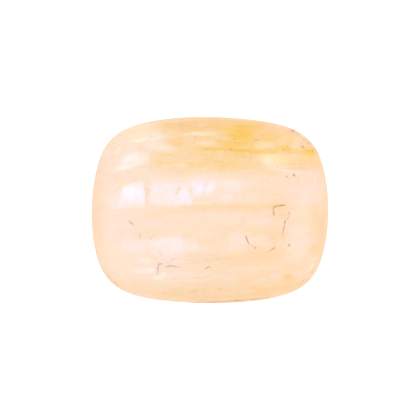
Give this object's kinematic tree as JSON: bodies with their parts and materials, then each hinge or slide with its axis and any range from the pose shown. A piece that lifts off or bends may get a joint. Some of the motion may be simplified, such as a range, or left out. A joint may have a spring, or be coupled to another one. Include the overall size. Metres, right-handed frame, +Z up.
{
  "type": "polished sapphire cabochon",
  "caption": "Cushion-shaped cabochon of pale peach sapphire: a smooth polished dome over a narrow girdle, a ground bevel and a flat back to rest on or to set in a bezel.",
  "frame": {"origin": "middle of the flat back, which the stone rests on", "axes": "+X along the stone's length, +Y along its width, +Z up through the top of the dome"},
  "size_m": [0.014, 0.011, 0.0062],
  "materials": {
    "sapphire": "polished"
  },
  "bodies": {
    "root": {"sapphire": "sapphire"}
  },
  "joints": []
}
